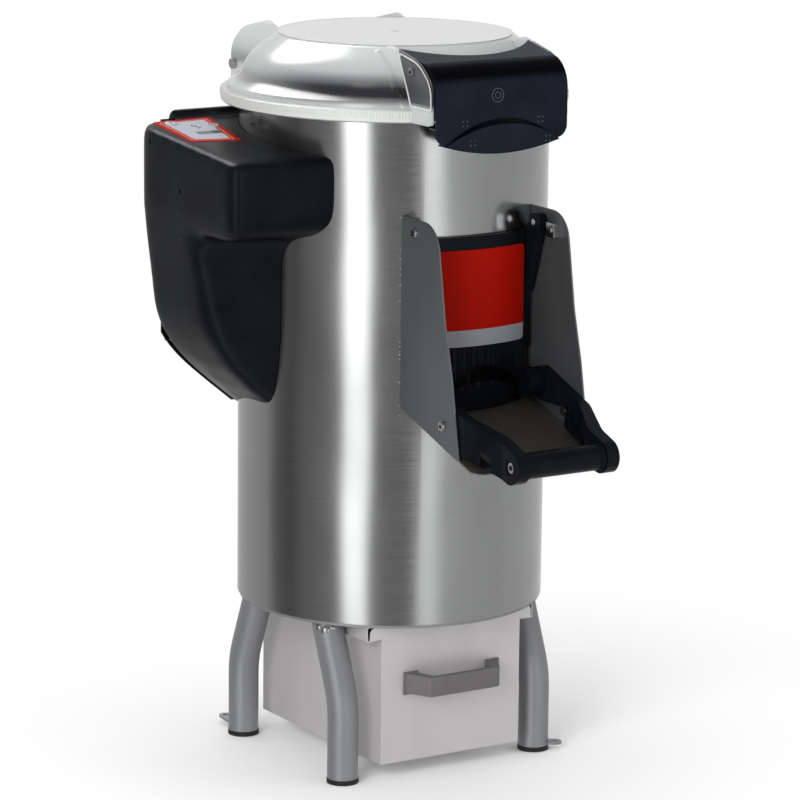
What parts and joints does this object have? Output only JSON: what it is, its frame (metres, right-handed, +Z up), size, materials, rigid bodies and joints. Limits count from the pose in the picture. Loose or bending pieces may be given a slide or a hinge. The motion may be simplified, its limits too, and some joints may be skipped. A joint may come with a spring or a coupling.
{
  "type": "electric potato peeler",
  "caption": "Floor-standing electric peeling machine: steel drum with a hinged clear lid, front discharge door and chute, side control housing, tube legs and a filter drawer.",
  "frame": {"origin": "on the drum's vertical axis, at the floor", "axes": "+Z up, -Y towards the discharge door at the front, +X to the right seen from the front"},
  "size_m": [0.5294, 0.6569, 0.9494],
  "materials": {
    "steel_brushed": "vertical brushed stainless sheet",
    "steel_satin": "satin stainless",
    "steel_bright": "bright fastener steel",
    "cast_aluminium": "as cast",
    "motor_paint": "grey enamel",
    "abrasive": "bonded silicon carbide grit",
    "black_rubber": "matte",
    "white_plastic": "moulded",
    "black_plastic": "satin moulded ABS",
    "grey_plastic": "moulded",
    "clear_plastic": "clear polycarbonate",
    "keypad_film": "printed film",
    "door_label": "printed sheet",
    "circuit_green": "laminate",
    "key_green": "moulded",
    "key_red": "moulded",
    "key_grey": "moulded"
  },
  "bodies": {
    "root": {"drum_shell": "steel_brushed", "base_ring": "steel_satin", "tank_floor": "steel_satin", "abrasive_liner": "abrasive", "bearing_housing": "cast_aluminium", "shaft_bearings": "steel_satin", "shaft_seal": "black_rubber", "motor_mount": "cast_aluminium", "drive_motor": "motor_paint", "drive_belt": "black_rubber", "drain_duct": "white_plastic", "inlet_valve": "white_plastic", "spray_nozzle": "white_plastic", "leg_front_left": "steel_satin", "leg_front_right": "steel_satin", "leg_rear_left": "steel_satin", "leg_rear_right": "steel_satin", "rubber_feet": "black_rubber", "fixing_lugs": "steel_satin", "drawer_rails": "steel_satin", "cheek_left": "steel_brushed", "cheek_right": "steel_brushed", "chute_floor": "steel_brushed", "door_pivot_screws": "steel_bright", "bail_rest_screws": "steel_bright", "door_switch": "steel_bright", "latch_catch": "steel_brushed", "lid_hinge_bracket": "grey_plastic", "lid_hinge_pin": "steel_bright", "control_housing": "black_plastic", "housing_back": "black_plastic", "keypad_panel": "keypad_film", "circuit_board": "circuit_green", "key_switches": "grey_plastic", "contactor": "white_plastic", "cable_gland": "black_plastic", "housing_screws": "steel_bright"},
    "disc": {"abrasive_disc": "abrasive", "disc_cap": "steel_satin", "drive_shaft": "steel_satin", "driven_pulley": "cast_aluminium"},
    "rotor": {"motor_pulley": "cast_aluminium"},
    "drawer": {"drawer_box": "steel_satin", "drawer_filter": "steel_satin", "drawer_handle": "grey_plastic"},
    "lid": {"lid_dome": "clear_plastic", "lid_ring": "clear_plastic", "lid_gasket": "black_rubber", "latch_screws": "steel_bright"},
    "flap": {"latch_flap": "black_plastic"},
    "door": {"door_panel": "black_plastic", "door_gasket": "black_rubber", "door_plate": "door_label", "bail_pins": "steel_bright"},
    "bail": {"bail_arms": "black_plastic", "bail_grip": "black_plastic", "bail_rod": "steel_bright"},
    "start_key": {"key_start": "key_green"},
    "stop_key": {"key_stop": "key_red"},
    "timer_key": {"key_timer": "key_grey"}
  },
  "joints": [
    {"name": "disc_spin", "type": "hinge", "parent": "root", "child": "disc", "pos_m": [0, 0, 0.485], "axis": [0, 0, 1], "continuous": true},
    {"name": "rotor_spin", "type": "hinge", "parent": "root", "child": "rotor", "pos_m": [0, 0.118, 0.368], "axis": [0, 0, 1], "continuous": true},
    {"name": "drawer_slide", "type": "slide", "parent": "root", "child": "drawer", "axis": [0, -1, 0], "range_m": [0, 0.28]},
    {"name": "lid_hinge", "type": "hinge", "parent": "root", "child": "lid", "pos_m": [0, 0.236, 0.884], "axis": [-1, 0, 0], "range_deg": [0, 95]},
    {"name": "latch_hinge", "type": "hinge", "parent": "lid", "child": "flap", "pos_m": [0, -0.2, 0.922], "axis": [-1, 0, 0], "range_deg": [0, 18]},
    {"name": "door_hinge", "type": "hinge", "parent": "root", "child": "door", "pos_m": [0, -0.206, 0.722], "axis": [-1, 0, 0], "range_deg": [0, 30]},
    {"name": "bail_hinge", "type": "hinge", "parent": "door", "child": "bail", "pos_m": [0, -0.222, 0.519], "axis": [-1, 0, 0], "range_deg": [0, 35]},
    {"name": "start_key_press", "type": "slide", "parent": "root", "child": "start_key", "axis": [0, 0.0854, -0.9963], "range_m": [0, 0.0012], "stiffness_N_per_m": 400},
    {"name": "stop_key_press", "type": "slide", "parent": "root", "child": "stop_key", "axis": [0, 0.0854, -0.9963], "range_m": [0, 0.0012], "stiffness_N_per_m": 400},
    {"name": "timer_key_press", "type": "slide", "parent": "root", "child": "timer_key", "axis": [0, 0.0854, -0.9963], "range_m": [0, 0.0012], "stiffness_N_per_m": 400}
  ],
  "couplings": [
    {"joint": "rotor_spin", "follows": "disc_spin", "ratio": 3.4091}
  ]
}
